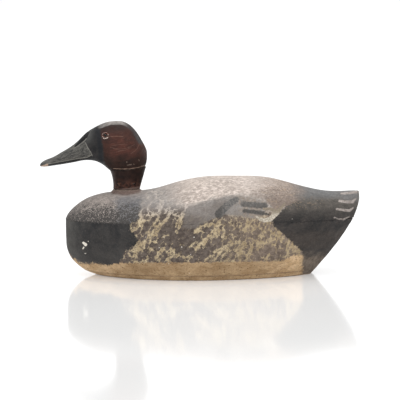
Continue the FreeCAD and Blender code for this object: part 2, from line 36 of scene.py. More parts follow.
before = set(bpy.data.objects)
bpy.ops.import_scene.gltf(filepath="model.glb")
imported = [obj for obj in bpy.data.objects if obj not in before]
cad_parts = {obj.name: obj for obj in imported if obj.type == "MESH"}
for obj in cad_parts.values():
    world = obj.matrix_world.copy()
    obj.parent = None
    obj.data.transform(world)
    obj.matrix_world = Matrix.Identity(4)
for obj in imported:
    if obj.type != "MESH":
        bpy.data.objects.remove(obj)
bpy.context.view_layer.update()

MM = 0.001
SEAM_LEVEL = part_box("body_upper_half")[0].z
BOARD_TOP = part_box("bottom_board")[1].z
ELEVATION = math.radians(6.5)
CAMERA_DISTANCE = 2.5
CAMERA_LENS = 68.36 * CAMERA_DISTANCE
CAMERA_ROLL = math.radians(0.567)
AIM_LEVEL = 0.0969
SKY_STRENGTH = 1.01
FLOOR_SIZE = 60
FLOOR_GAP = 0.0002
FLOOR_COLOUR = (0.82, 0.82, 0.815, 1.0)
FLOOR_GLOW = 0.26
WHITE = (1, 1, 1, 1)
FLAT_WITHIN = 0.2 * MM
SHARP_ANGLE = math.radians(48)
SMOOTHING_PASSES = 3
UNPAINTED = -9.0
FAR_FROM_RIDGE = 20.0
LIP_DROP = 0.6
HEAD_MIDDLE = (-0.105, 0.160)
BODY_PITCH, BOARD_PITCH, NECK_PITCH = 1.6 * MM, 1.2 * MM, 0.8 * MM
HEAD_PITCH, LEAD_PITCH, PUTTY_PITCH = 0.7 * MM, 0.7 * MM, 0.28 * MM

# ---------- painted outlines

BREAST = [(-66, 112), (-72, 104), (-76, 96), (-80, 82), (-83, 68), (-90, 66), (-92, 58),
          (-81, 43), (-87, 37), (-100, 29), (-103, 20), (-111, 13), (-128, 12), (-140, 16),
          (-148, 13), (-169, 21), (-177, 29), (-260, 29), (-260, 180), (-66, 180)]
TAIL = [(134, -20), (134, 5), (135, 25), (130, 31), (114, 46), (98, 60), (95, 68), (98, 74),
        (106, 81), (114, 87), (124, 92), (132, 98), (137, 106), (142, 114), (146, 180), (300, 180),
        (300, -20)]
WING = [(-24, 61), (-20, 81), (-17, 85), (1, 93), (22, 98), (42, 102), (52, 101), (68, 99),
        (81, 95), (89, 89), (86, 80), (75, 71), (59, 73), (33, 77), (16, 71), (-3, 61), (-15, 58)]
BACK = [(-56, 117), (-44, 104), (-30, 93), (-17, 88), (1, 94), (22, 99), (52, 103), (80, 98),
        (90, 90), (100, 80), (110, 84), (150, 92), (160, 110), (160, 180), (-56, 180)]

# Brush marks: width at the start, width at the end, path.
DARK_FEATHERS = [(11.5, 9, [(25, 77.6), (32, 85), (40.5, 92.5)]),
                 (9, 7, [(40.5, 92.5), (47.5, 96.6)]),
                 (7, 8, [(56.5, 90.4), (70, 89.2), (85, 88)]),
                 (5, 5.6, [(58, 81.6), (70, 80), (83, 78)]),
                 (3.5, 2, [(83, 78), (90, 76.4)])]
WHITE_FEATHER = [(2, 4, [(73.5, 74), (79, 70)]), (4.5, 6, [(79, 70), (85, 68.7), (92, 70)]),
                 (6, 7, [(92, 70), (97, 75), (101, 79)]),
                 (6.5, 1.5, [(101, 79), (106, 84), (112, 91)]),
                 (3, 5, [(83.5, 83.5), (92, 83.8), (98, 81)])]
TAIL_FEATHERS = [(2.6, 3.4, [(186, 103), (196, 103.4), (205.5, 104.8)]),
                 (3.2, 4.2, [(183.7, 93.2), (194, 91.8), (201, 92)]),
                 (3.6, 1.6, [(201, 92), (205.4, 96.4)]),
                 (2.8, 3.6, [(180, 82.7), (190, 81), (197, 80.4)]),
                 (3.4, 1.4, [(197, 80.4), (202, 84.6)]),
                 (1.7, 2.2, [(176.5, 71.4), (183, 69.4), (189, 68.8)]),
                 (2.2, 1.4, [(189, 68.8), (197, 72.8)])]
WHITE_CHIPS = [(2.8, 4.0, [(-154.5, 41.5), (-151.5, 38.8)]),
               (1.9, 1.3, [(-154, 35.4), (-155.4, 33)]),
               (1.2, 1.2, [(-148, 43.4), (-147.4, 43)]), (1.0, 1.0, [(-123, 44.3), (-122.6, 44)]),
               (1.0, 0.8, [(-153, 27), (-150, 28)]), (1.3, 1.2, [(121, 70.5), (121.4, 70.2)])]
BARE_STREAKS = [(9, 7, [(-92, 26), (-78, 36), (-65, 48), (-53, 63)]),
                (4, 3, [(-53, 63), (-45, 71), (-39, 80)]),
                (8, 5, [(-57, 20), (-51, 32)]), (8, 5, [(-41, 18), (-35, 32)]),
                (6, 6, [(-4, 34), (4, 42), (19, 53), (22, 60)]),
                (5, 4, [(-6, 55), (4, 61), (14, 63), (25, 65)]),
                (6, 5, [(12, 22), (29, 32), (40, 38)]),
                (6, 5, [(48, 29), (60, 37)]), (7, 3, [(-22, 19), (-16, 22)]),
                (5, 3, [(-31, 55), (-24, 76), (-21, 83)]), (4, 4, [(29, 43), (31, 56)]),
                (6, 8, [(97, 53), (112, 39), (127, 28)]), (5, 4, [(-86, 60), (-79, 64)])]
DARK_DABS = [(12, 10, [(-41, 62), (-37, 40)]), (14, 12, [(-34, 40), (-13, 28)]),
             (12, 12, [(4, 27), (24, 41)]), (9, 8, [(74, 21), (90, 31)]),
             (12, 12, [(97, 21), (109, 36)]), (5, 5, [(-38, 17.5), (6, 16.5)]),
             (12, 10, [(-10, 48), (-22, 55)])]
# Reddish-brown smear on the shelf under the neck, which also stands as painted shade in the crease
# at the neck's foot.
NECK_FOOT_SMEAR_AND_SHADE = [(8, 7, [(-113, 109), (-98, 107), (-81, 110)])]

BILL = [(-144.5, 188), (-148, 182), (-150.5, 172), (-147, 166.5), (-143.4, 160.7),
        (-141.2, 156.3), (-139, 148), (-139, 100), (-260, 100), (-260, 188)]
FACE = [(-175, 215), (-175, 130), (-124, 130), (-124, 143), (-126, 155), (-126, 165),
        (-127.5, 173), (-128, 181), (-129.5, 190), (-131, 215)]
BILL_EDGE = [(1.3, 1.1, [(-150, 173), (-147, 166.5), (-143.4, 160.7), (-141.2, 155.5)])]
MANDIBLE_LINE = [(1.0, 1.1, [(-203, 145.2), (-183, 148.2), (-164, 151.4), (-148, 153.4),
                             (-143, 156)])]
FOREHEAD_WEDGE = [(1.5, 7, [(-163.5, 168.5), (-157, 174.5), (-150.5, 181.5)]),
                  (7, 2, [(-150.5, 181.5), (-145, 187)])]
FOREHEAD_RIM = [(0.8, 1.2, [(-165, 165.5), (-157, 170.6), (-151, 175.6), (-148.6, 178.6)])]
NECK_JOINT = [(0.6, 0.7, [(-113.5, 138.8), (-103, 138.0), (-92, 138.1), (-80, 140.0),
                          (-71, 142.2)])]
HEAD_CHIPS = [(1.0, 1.7, [(-95, 143), (-90, 143.8)]), (1.4, 1.1, [(-79.6, 149.8), (-79, 148.6)]),
              (1.2, 1.0, [(-96, 147.4), (-95.2, 146.4)]), (0.8, 1.0, [(-76, 141.6), (-72, 142.6)]),
              (1.0, 1.0, [(-87, 144.2), (-86, 144)])]
CHEEK_SCRATCHES = [(0.5, 0.7, [(-118, 180.6), (-108, 180.8), (-100, 180.6)]),
                   (0.7, 0.5, [(-117, 166.6), (-110, 164.4), (-102, 164), (-93, 166), (-85, 170)]),
                   (0.4, 0.6, [(-116, 168.4), (-108, 169.6), (-98, 170.6)]),
                   (0.6, 0.4, [(-107, 161.4), (-98, 162.6), (-90, 165.6)]),
                   (0.5, 0.5, [(-90, 158), (-82, 164), (-79, 170)])]
BILL_TIP_WEAR = [(2.6, 3.4, [(-207.4, 142.2), (-203.4, 143.2), (-200.6, 144.2)])]


# ---------- carving helpers

def side_elevation(points):
    """Where points (metres) stand on the painter's side elevation, in millimetres."""
    near = 1 + np.abs(points[:, 1]) / CAMERA_DISTANCE
    rise = (points[:, 2] - AIM_LEVEL) * math.cos(ELEVATION)
    rise -= np.abs(points[:, 1]) * math.sin(ELEVATION)
    level = AIM_LEVEL * math.cos(ELEVATION) + rise * near
    return np.column_stack([points[:, 0] * near, level]) / MM


def distance_to_path(points, path):
    """Distance of each point from a path, and the share of the path passed there."""
    best, passed = np.full(len(points), 1e9), np.zeros(len(points))
    for index, (start, end) in enumerate(zip(path, path[1:])):
        start, run = np.array(start, float), np.subtract(end, start).astype(float)
        share = np.clip((points - start) @ run / (run @ run), 0, 1)
        gap = np.linalg.norm(points - start - share[:, None] * run, axis=1)
        nearer = gap < best
        best[nearer] = gap[nearer]
        passed[nearer] = (index + share[nearer]) / (len(path) - 1)
    return best, passed


def patch(points, outline):
    """Signed distance from an outline's edge, positive inside it."""
    closed = outline + outline[:1]
    gap, _ = distance_to_path(points, closed)
    inside = np.zeros(len(points), bool)
    for (x0, z0), (x1, z1) in zip(closed, closed[1:]):
        if z0 != z1:
            crosses = (z0 > points[:, 1]) != (z1 > points[:, 1])
            inside ^= crosses & (points[:, 0] < x0 + (points[:, 1] - z0) * (x1 - x0) / (z1 - z0))
    return np.where(inside, gap, -gap)


def brush(points, marks):
    """Signed distance from the edge of the nearest brush mark, positive inside it."""
    best = np.full(len(points), -1e9)
    for first, last, path in marks:
        gap, passed = distance_to_path(points, path)
        best = np.maximum(best, (first + (last - first) * passed) / 2 - gap)
    return best


def near_flank(points, values):
    """The same marks kept on the flank towards -Y only: chips and scratches."""
    return np.where(points[:, 1] < 0, values, UNPAINTED)


def waves(points, size, seed=0.0):
    """Smooth noise from -1 to 1 at each point; size is one length or three, in metres."""
    scaled = points / np.array(size) + seed
    return np.array([noise.noise(Vector(p)) for p in scaled.tolist()])


def new_object(name, data):
    """An object in the scene that holds the data."""
    made = bpy.data.objects.new(name, data)
    bpy.context.scene.collection.objects.link(made)
    return made


class Carving:
    """An even, fine mesh on a CAD solid's own surface, which can be cut and painted."""

    def __init__(self, node, name, pitch):
        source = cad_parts[node]
        piece = new_object(name, source.data.copy())
        even = piece.modifiers.new("even", "REMESH")
        even.mode, even.voxel_size, even.adaptivity = "VOXEL", pitch, 0.0
        evaluated = piece.evaluated_get(bpy.context.evaluated_depsgraph_get())
        piece.data = bpy.data.meshes.new_from_object(evaluated)
        piece.modifiers.clear()
        piece.data.name = name
        self.piece, self.node, self.mesh = piece, node, piece.data
        self.points = self.read("co")
        surface = BVHTree.FromPolygons([v.co for v in source.data.vertices],
                                       [p.vertices[:] for p in source.data.polygons])
        self.points = np.array([surface.find_nearest(Vector(p))[0] for p in self.points.tolist()])
        self.settle()

    def read(self, what):
        """One vector for each point of the mesh, as an array."""
        values = np.empty(len(self.mesh.vertices) * 3)
        self.mesh.vertices.foreach_get(what, values)
        return values.reshape(-1, 3)

    def settle(self):
        """Write the points back to the mesh and read its new normals."""
        self.mesh.vertices.foreach_set("co", self.points.ravel())
        self.mesh.update()
        self.normals = self.read("normal")
        self.side = side_elevation(self.points)

    def cut(self, depth):
        """Move the surface inwards by a depth in millimetres at each point."""
        self.points = self.points - self.normals * (depth * MM)[:, None]
        self.settle()

    def mark(self, name, values):
        """Keep one value for each point, for the paint to read."""
        store = self.mesh.attributes.new(name, "FLOAT", "POINT")
        store.data.foreach_set("value", np.asarray(values, np.float32))

    def standing_out(self):
        """How far each point stands out from those round it, in millimetres."""
        edges = np.empty(len(self.mesh.edges) * 2, int)
        self.mesh.edges.foreach_get("vertices", edges)
        first, second = edges.reshape(-1, 2).T
        count = np.bincount(edges, minlength=len(self.points))[:, None]
        even = self.points
        for _ in range(SMOOTHING_PASSES):
            total = np.zeros_like(even)
            np.add.at(total, first, even[second])
            np.add.at(total, second, even[first])
            even = total / count
        return ((self.points - even) * self.normals).sum(axis=1) / MM

    def finish(self, body, slot, material):
        """Give the piece its material and let it stand in for the CAD node."""
        self.mesh.materials.clear()
        self.mesh.materials.append(material)
        self.mesh.shade_smooth()
        self.mesh.set_sharp_from_angle(angle=SHARP_ANGLE)
        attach(self.piece, body)
        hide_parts(self.node)


# ---------- material helpers

def colour(red, green, blue):
    """Linear colour from display values of 0 to 255."""
    shares = [value / 255 for value in (red, green, blue)]
    linear = [s / 12.92 if s <= 0.04045 else ((s + 0.055) / 1.055) ** 2.4 for s in shares]
    return (*linear, 1.0)


class Paint:
    """One procedural material, put together from layers. Lengths are in millimetres."""

    def __init__(self, name, roughness=0.6, specular=0.15, **values):
        self.material = bpy.data.materials.new(name)
        self.material.use_nodes = True
        self.tree = self.material.node_tree
        self.tree.nodes.clear()
        output = self.node("OutputMaterial")
        self.shader = self.node("BsdfPrincipled", {
            "Roughness": roughness, "Specular IOR Level": specular, **values})
        self.tree.links.new(self.shader.outputs[0], output.inputs[0])
        scaled = self.node("VectorMath", {0: self.node("TexCoord").outputs["Object"],
                                          1: (1 / MM,) * 3}, operation="MULTIPLY")
        self.place = scaled.outputs[0]
        noise_inputs = {"Vector": self.place, "Scale": 0.45, "Detail": 3.0}
        jitter = self.node("TexNoise", noise_inputs).outputs[1]
        jitter = self.node("VectorMath", {0: jitter, 1: (0.5,) * 3}, operation="SUBTRACT")
        jitter = self.node("VectorMath", {0: jitter.outputs[0], "Scale": 2.2}, operation="SCALE")
        jitter = jitter.outputs[0]
        self.ragged_place = self.node("VectorMath", {0: self.place, 1: jitter}).outputs[0]
        self.x, self.y, self.z = self.node("SeparateXYZ", {0: self.place}).outputs

    def node(self, kind, inputs=None, **settings):
        """A new shader node with its inputs set or linked."""
        made = self.tree.nodes.new("ShaderNode" + kind)
        for key, value in settings.items():
            setattr(made, key, value)
        for key, value in (inputs or {}).items():
            self.feed(made.inputs[key], value)
        return made

    def feed(self, socket, value):
        """Link a socket to another, or set it to a value."""
        if isinstance(value, bpy.types.NodeSocket):
            self.tree.links.new(value, socket)
        else:
            socket.default_value = value

    def math(self, operation, *values):
        return self.node("Math", dict(enumerate(values)), operation=operation).outputs[0]

    def add(self, *values):
        total = values[0]
        for value in values[1:]:
            total = self.math("ADD", total, value)
        return total

    def times(self, *values):
        product = values[0]
        for value in values[1:]:
            product = self.math("MULTIPLY", product, value)
        return product

    def ramp(self, value, low, high, start=0.0, end=1.0):
        """Smooth step from start to end as a value goes from low to high."""
        inputs = {0: value, 1: low, 2: high, 3: start, 4: end}
        return self.node("MapRange", inputs, interpolation_type="SMOOTHSTEP").outputs[0]

    def away(self, value, middle):
        """How far a value is from a middle one, either way."""
        return self.math("ABSOLUTE", self.add(value, -middle))

    def mark(self, name):
        """The value that Carving.mark kept at each point."""
        return self.node("Attribute", attribute_name=name).outputs["Fac"]

    def mix(self, share, below, above, blend="MIX"):
        """The colour below, covered by a share of the colour above."""
        inputs = {0: share, 6: below, 7: above}
        return self.node("Mix", inputs, data_type="RGBA", blend_type=blend).outputs[2]

    def glaze(self, base, share, strength, above):
        """Another colour over the base, at most of a strength."""
        return self.mix(self.times(share, strength), base, above)

    def shaded(self, base, share):
        """The base colour made darker or lighter by a share of about 1."""
        tone = self.node("CombineColor", {0: share, 1: share, 2: share}).outputs[0]
        return self.mix(1.0, base, tone, "MULTIPLY")

    def stretched(self, place, size, seed, length, slope, depth=1.0):
        """Places scaled so that noise of size 1 comes out at a size, drawn out up a slope."""
        inputs = {"Vector": place, "Location": (37 * seed, 17 * seed, 11 * seed),
                  "Rotation": (0, -math.radians(slope), 0),
                  "Scale": (size * length, size * depth, size)}
        return self.node("Mapping", inputs, vector_type="TEXTURE").outputs[0]

    def cloud(self, size, seed=0.0, length=1.0, slope=0.0, detail=3.0):
        """Cloudy noise about 0.5, its features of a size, drawn out up a slope."""
        inputs = {"Vector": self.stretched(self.place, size, seed, length, slope), "Scale": 1.0,
                  "Detail": detail, "Roughness": 0.6}
        return self.node("TexNoise", inputs).outputs[0]

    def wander(self, width, size, seed=0.0, length=1.0, slope=0.0, detail=3.0):
        """Cloudy noise about zero, spread over a width."""
        return self.times(self.add(self.cloud(size, seed, length, slope, detail), -0.5), width)

    def drifting(self, value, width, size, seed, length=1.0, slope=0.0):
        """A value raised by cloudy noise of up to a width."""
        return self.add(value, self.times(self.cloud(size, seed, length, slope), width))

    def spots(self, size, seed=0.0, length=1.0, slope=0.0, depth=1.0, ragged=True):
        """Distance to the middle of the nearest dab, 0 to about 1, and the dab's own value."""
        place = self.ragged_place if ragged else self.place
        inputs = {"Vector": self.stretched(place, size, seed, length, slope, depth), "Scale": 1.0}
        cells = self.node("TexVoronoi", inputs)
        value = self.node("SeparateXYZ", {0: cells.outputs["Color"]}).outputs[0]
        return cells.outputs["Distance"], value

    def rough_edge(self, distance, ragged, soft=0.6, size=5.0, seed=1.0):
        """Share of paint inside an edge that wanders by a ragged width."""
        wander = self.wander(2 * ragged, size, seed, detail=5.0)
        return self.ramp(self.math("DIVIDE", self.add(distance, wander), soft), -1.0, 1.0)

    def worn_edges(self, width, size, seed, low, high):
        """Share of wear along the edges that stand out."""
        return self.ramp(self.add(self.mark("edge"), self.wander(width, size, seed)), low, high)

    def mottled(self, first, second, size, seed=0.0, length=1.0, slope=0.0):
        """Two colours in soft clouds."""
        share = self.ramp(self.cloud(size, seed, length, slope), 0.35, 0.65)
        return self.mix(share, first, second)

    def bump(self, height, strength=1.0):
        """Relief whose height is in millimetres."""
        inputs = {"Height": height, "Distance": MM, "Strength": strength}
        self.tree.links.new(self.node("Bump", inputs).outputs[0], self.shader.inputs["Normal"])

    def finish(self, base, roughness=None):
        """Join the base colour and the roughness to the shader."""
        self.feed(self.shader.inputs["Base Color"], base)
        if roughness is not None:
            self.feed(self.shader.inputs["Roughness"], roughness)
        return self.material


# ---------- materials

def flank_layers(paint, height):
    """Tan ground under diagonal grey-brown dabs, greyer towards the shoulder."""
    rear = paint.ramp(paint.x, 0, 75)
    light_tan = paint.mix(rear, colour(196, 179, 148), colour(176, 158, 129))
    deep_tan = paint.mix(rear, colour(168, 150, 121), colour(154, 136, 107))
    low_ground = paint.mix(paint.ramp(paint.cloud(7, 2), 0.35, 0.65), light_tan, deep_tan)
    high_ground = paint.mottled(colour(190, 180, 171), colour(168, 159, 151), 6, 3)
    ground = paint.mix(paint.ramp(height, 64, 88), low_ground, high_ground)
    dark_dab = paint.mix(rear, colour(84, 75, 70), colour(104, 92, 84))
    pale_dab = paint.mix(rear, colour(108, 98, 91), colour(132, 118, 106))
    low_dab = paint.mix(paint.ramp(paint.cloud(5, 4), 0.35, 0.65), dark_dab, pale_dab)
    high_dab = paint.mottled(colour(140, 135, 132), colour(160, 153, 147), 6, 5)
    dab = paint.mix(paint.ramp(height, 76, 95), low_dab, high_dab)

    bare = paint.rough_edge(paint.mark("bare"), 5.5, 2.0, 4.0, 6)
    dark = paint.rough_edge(paint.mark("dark"), 6.0, 2.5, 5.0, 7)
    drift = paint.wander(0.8, 8, 8, 2.0, 52)
    cover = paint.add(drift, 0.66, paint.times(bare, -0.40), paint.times(dark, 0.30),
                      paint.times(rear, -0.02), paint.ramp(paint.x, -5, 25, 0.0, -0.10))
    slanting, slanting_own = paint.spots(4.6, 9, 1.5, 54, 5.0)
    upright, upright_own = paint.spots(3.5, 10, 1.6, 78, 5.0)
    dabs = paint.mix(rear, slanting, upright)
    own = paint.mix(rear, slanting_own, upright_own)
    fringe = paint.wander(0.95, 1.1, 11, detail=4.0)
    wide = paint.ramp(paint.add(cover, fringe, paint.times(own, 0.34), -0.17,
                                paint.times(dabs, -1.0)), -0.05, 0.06)
    small, small_own = paint.spots(2.0, 58, 1.4, 50, 5.0)
    little = paint.ramp(paint.add(paint.times(small_own, 0.9), paint.times(small, -1.0),
                                  paint.times(drift, 0.6)), 0.02, 0.16)
    share = paint.math("MAXIMUM", wide, paint.times(little, 0.65))
    base = paint.mix(share, ground, dab)
    scuffs = paint.ramp(paint.cloud(1.5, 59, 1.6, 60), 0.58, 0.70)
    return paint.glaze(base, scuffs, 0.35, colour(160, 143, 120)), share


def back_layers(paint):
    """Pale pinkish grey with faint combed dabs, browner and older towards the tail."""
    middle = paint.ramp(paint.away(paint.x, 18), 62, 25)
    pale = paint.mix(middle, paint.mottled(colour(186, 175, 166), colour(164, 154, 146), 8, 12),
                     paint.mottled(colour(208, 195, 186), colour(186, 174, 164), 8, 12))
    brown = paint.mottled(colour(160, 143, 131), colour(134, 120, 109), 7, 13)
    to_rear = paint.drifting(paint.x, 46, 14, 14, 1.6, 35)
    ground = paint.mix(paint.ramp(to_rear, 82, 126), pale, brown)
    dab = paint.mix(paint.ramp(paint.x, 60, 105), colour(154, 142, 134), colour(118, 104, 94))
    coarse, own = paint.spots(3.2, 15, 1.8, 32)
    share = paint.ramp(paint.add(paint.times(own, 0.5), paint.times(coarse, -1.0),
                                 paint.times(paint.cloud(9, 16, 1.6, 32), 0.55)), -0.12, 0.16)
    base = paint.glaze(ground, share, 0.8, dab)
    combed = paint.ramp(paint.cloud(1.5, 17, 3.4, 32), 0.40, 0.66)
    base = paint.glaze(base, combed, 0.28, colour(222, 210, 201))
    slope = paint.ramp(paint.drifting(paint.x, 16, 9, 66), -8, -44)
    base = paint.glaze(base, slope, 0.5, colour(152, 145, 141))
    low_rear = paint.times(paint.ramp(paint.mark("height"), 106, 90), paint.ramp(paint.x, 66, 88))
    base = paint.glaze(base, low_rear, 0.65, colour(130, 115, 105))
    tan = paint.times(paint.ramp(paint.cloud(5, 60, 2.0, 30), 0.56, 0.66),
                      paint.ramp(paint.x, 66, 96))
    return paint.glaze(base, tan, 0.35, colour(184, 160, 132))


def breast_layers(paint, height):
    """Worn black below the seam; above it, a pale stipple over black."""
    black = paint.mottled(colour(46, 46, 47), colour(62, 60, 59), 15, 17)
    speck = paint.ramp(paint.cloud(1.8, 18, detail=3.0), 0.54, 0.72)
    black = paint.glaze(black, speck, 0.30, colour(92, 88, 84))
    front = paint.ramp(paint.drifting(paint.x, 24, 9, 61), -134, -162)
    black = paint.glaze(black, front, 0.50, colour(90, 88, 84))
    rubbing_and_highlight = paint.times(paint.ramp(height, 40, 24), 0.3)
    black = paint.mix(rubbing_and_highlight, black, colour(84, 81, 78))
    cracks = paint.ramp(paint.cloud(1.4, 62, 6.0, 88), 0.62, 0.72)
    black = paint.glaze(black, cracks, 0.30, colour(84, 70, 62))
    pink = paint.mottled(colour(176, 165, 157), colour(140, 131, 125), 6, 19)
    blue = paint.mottled(colour(114, 114, 117), colour(138, 136, 136), 7, 20)
    to_rear = paint.ramp(paint.drifting(paint.x, 34, 12, 21), -100, -80)
    to_rear = paint.times(to_rear, paint.ramp(height, 110, 96))
    pale = paint.mix(to_rear, pink, blue)
    dots, own = paint.spots(1.5, 22, 1.2, 30, 1.0, False)
    rows = paint.wander(0.7, 6, 23, 2.5, 18)
    cover = paint.add(paint.ramp(height, 66, 116, 0.14, 0.90), paint.times(own, 0.35), -0.06, rows)
    stipple = paint.ramp(paint.add(cover, paint.times(dots, -1.0)), -0.20, 0.26)
    under = paint.mix(paint.ramp(height, 88, 110), colour(76, 73, 71), colour(146, 138, 133))
    dome = paint.glaze(under, stipple, 0.78, pale)
    brink = paint.add(paint.z, paint.wander(5.0, 3, 24, detail=4.0))
    above = paint.ramp(brink, SEAM_LEVEL / MM - 1.5, SEAM_LEVEL / MM + 1.8)
    return paint.mix(above, black, dome)


def tail_layers(paint, height):
    """Black with brown worn through it, grey and speckled along the top."""
    black = paint.mottled(colour(49, 48, 48), colour(66, 62, 60), 12, 25, 2.0, 8)
    low = paint.mottled(colour(96, 86, 78), colour(124, 112, 100), 5, 26)
    drift = paint.wander(16, 8, 28, 2.0, 5)
    base = paint.mix(paint.ramp(paint.add(height, drift), 30, 12), black, low)
    brown = paint.times(paint.ramp(paint.away(paint.add(height, drift), 42), 18, 6), 0.35)
    base = paint.mix(brown, base, colour(74, 66, 60))
    dusty = paint.mottled(colour(82, 78, 74), colour(98, 93, 88), 5, 63, 2.0, 0)
    base = paint.mix(paint.ramp(paint.add(height, drift), 68, 92), base, dusty)
    grey = paint.mottled(colour(110, 110, 110), colour(124, 121, 119), 10, 27, 2.5, 0)
    base = paint.mix(paint.ramp(paint.add(height, paint.times(drift, 0.5)), 92, 104), base, grey)
    base = paint.mix(paint.times(paint.ramp(paint.x, 180, 192), paint.ramp(height, 88, 100)), base,
                     colour(120, 118, 117))
    dots, own = paint.spots(1.9, 29)
    near_body = paint.times(paint.ramp(paint.x, 176, 132), paint.ramp(height, 78, 90),
                            paint.ramp(height, 104, 96))
    speckle = paint.ramp(paint.add(paint.times(own, 0.8), paint.times(dots, -1.0)), 0.10, 0.30)
    base = paint.glaze(base, paint.times(speckle, near_body), 0.6, colour(142, 126, 108))
    lines = paint.ramp(paint.cloud(1.5, 30, 9.0, 4), 0.55, 0.70)
    return paint.glaze(base, lines, 0.35, colour(96, 88, 81))


def band_layers(paint):
    """Bare, dirty tan along the bottom, painted lighter at the bow and stern as a highlight of the
    light thrown up from the floor.
    """
    # Painted highlight: the tan is lighter towards both ends of the hull.
    highlit_ends = paint.ramp(paint.away(paint.x, -10), 70, 130)
    light = paint.mix(highlit_ends, colour(176, 150, 117), colour(208, 180, 145))
    deep = paint.mix(highlit_ends, colour(152, 126, 95), colour(184, 155, 119))
    tan = paint.mix(paint.ramp(paint.cloud(10, 31, 1.8), 0.35, 0.65), light, deep)
    stain = paint.ramp(paint.cloud(3.2, 32, 1.5, detail=4.0), 0.54, 0.68)
    tan = paint.glaze(tan, stain, 0.70, colour(132, 105, 75))
    grain = paint.ramp(paint.cloud(1.1, 33, 16.0), 0.48, 0.68)
    tan = paint.glaze(tan, grain, 0.35, colour(142, 116, 86))
    dots, own = paint.spots(3.0, 34)
    holes = paint.times(paint.ramp(dots, 0.30, 0.14), paint.ramp(own, 0.66, 0.72))
    tan = paint.glaze(tan, holes, 0.8, colour(88, 66, 44))
    joint = paint.ramp(paint.away(paint.z, BOARD_TOP / MM), 0.9, 0.3)
    return paint.mix(paint.times(joint, paint.ramp(paint.cloud(9, 35), 0.35, 0.6, 0.1, 0.7)), tan,
                     colour(118, 90, 62))


def wing_layers(paint, height, dabs):
    """The folded wing: smooth grey, browner low down and dabbed towards the tail."""
    grey = paint.mottled(colour(140, 135, 131), colour(122, 115, 110), 12, 38, 2.4, 20)
    lower = paint.ramp(paint.add(height, paint.times(paint.x, 0.35)), 90, 64)
    grey = paint.glaze(grey, lower, 0.75, colour(102, 94, 89))
    streaks = paint.ramp(paint.cloud(1.6, 64, 5.0, 22), 0.5, 0.7)
    grey = paint.glaze(grey, streaks, 0.30, colour(150, 142, 135))
    rear_dabs = paint.times(dabs, paint.ramp(paint.x, 30, 60))
    return paint.glaze(grey, rear_dabs, 0.5, colour(150, 134, 118))


def painted_feathers(paint, height, base):
    """Single feathers over the base: dark and white on the wing, pale lines on the tail."""
    dark = paint.rough_edge(paint.mark("feathers"), 2.0, 1.1, 2.5, 43)
    grey = paint.mottled(colour(84, 84, 84), colour(122, 118, 114), 2.0, 44)
    heel = paint.ramp(paint.x, 34, 24)
    hind = paint.times(paint.ramp(height, 92, 82, 0.45, 1.0), paint.ramp(paint.x, 48, 54))
    grey = paint.glaze(grey, paint.add(heel, hind), 0.7, colour(60, 58, 57))
    base = paint.glaze(base, dark, 0.9, grey)
    white = paint.rough_edge(paint.mark("white"), 1.4, 0.5, 2.2, 45)
    cream = paint.mottled(colour(206, 197, 183), colour(162, 152, 136), 1.8, 46)
    cream = paint.mix(paint.ramp(height, 73, 82), cream, colour(136, 125, 110))
    base = paint.mix(white, base, cream)
    lines = paint.rough_edge(paint.mark("tail_feathers"), 0.5, 0.5, 3, 47)
    pale = paint.mottled(colour(184, 174, 168), colour(146, 136, 130), 4, 65)
    return paint.glaze(base, lines, 0.85, pale)


def white_chips(paint, height):
    """Share of the chips and flecks that show white."""
    chips = paint.rough_edge(paint.mark("chips"), 0.6, 0.3, 1.6, 48)
    dots, own = paint.spots(5.6, 49)
    flecks = paint.times(paint.ramp(dots, 0.13, 0.08), paint.ramp(own, 0.70, 0.74))
    where = paint.times(paint.ramp(paint.x, 50, 10), paint.ramp(paint.x, -95, -60),
                        paint.ramp(height, 66, 52))
    return paint.math("MAXIMUM", chips, paint.times(flecks, where, 0.85))


def flank_back_and_wing(paint, height):
    """The upper body's paint, and the share of dabs on the flank."""
    base, dabs = flank_layers(paint, height)
    soft = paint.ramp(paint.x, -32, 4, 9.0, 3.0)
    back = paint.rough_edge(paint.mark("back"), 9, soft, 7, 36)
    base = paint.mix(back, base, back_layers(paint))
    # Painted shade: the side of the back below its crest, behind the wing, is darkened a little as
    # the shaded side under the lit top.
    behind = paint.times(paint.ramp(paint.x, 42, 60), paint.ramp(height, 108, 99))
    base = paint.glaze(base, paint.times(back, behind), 0.3, colour(112, 103, 97))
    # Painted highlight: the top of the back is lightened towards a pale colour, standing for the
    # overhead light falling on it.
    rubbing_and_highlight = paint.times(paint.ramp(paint.x, 44, 62), paint.ramp(paint.x, 122, 92),
                         paint.ramp(height, 107, 116, 0.0, 0.18))
    base = paint.mix(rubbing_and_highlight, base, colour(226, 213, 204))
    wing = paint.rough_edge(paint.mark("wing"), 3.4, 2.0, 4, 37)
    return paint.glaze(base, wing, 0.92, wing_layers(paint, height, dabs)), dabs


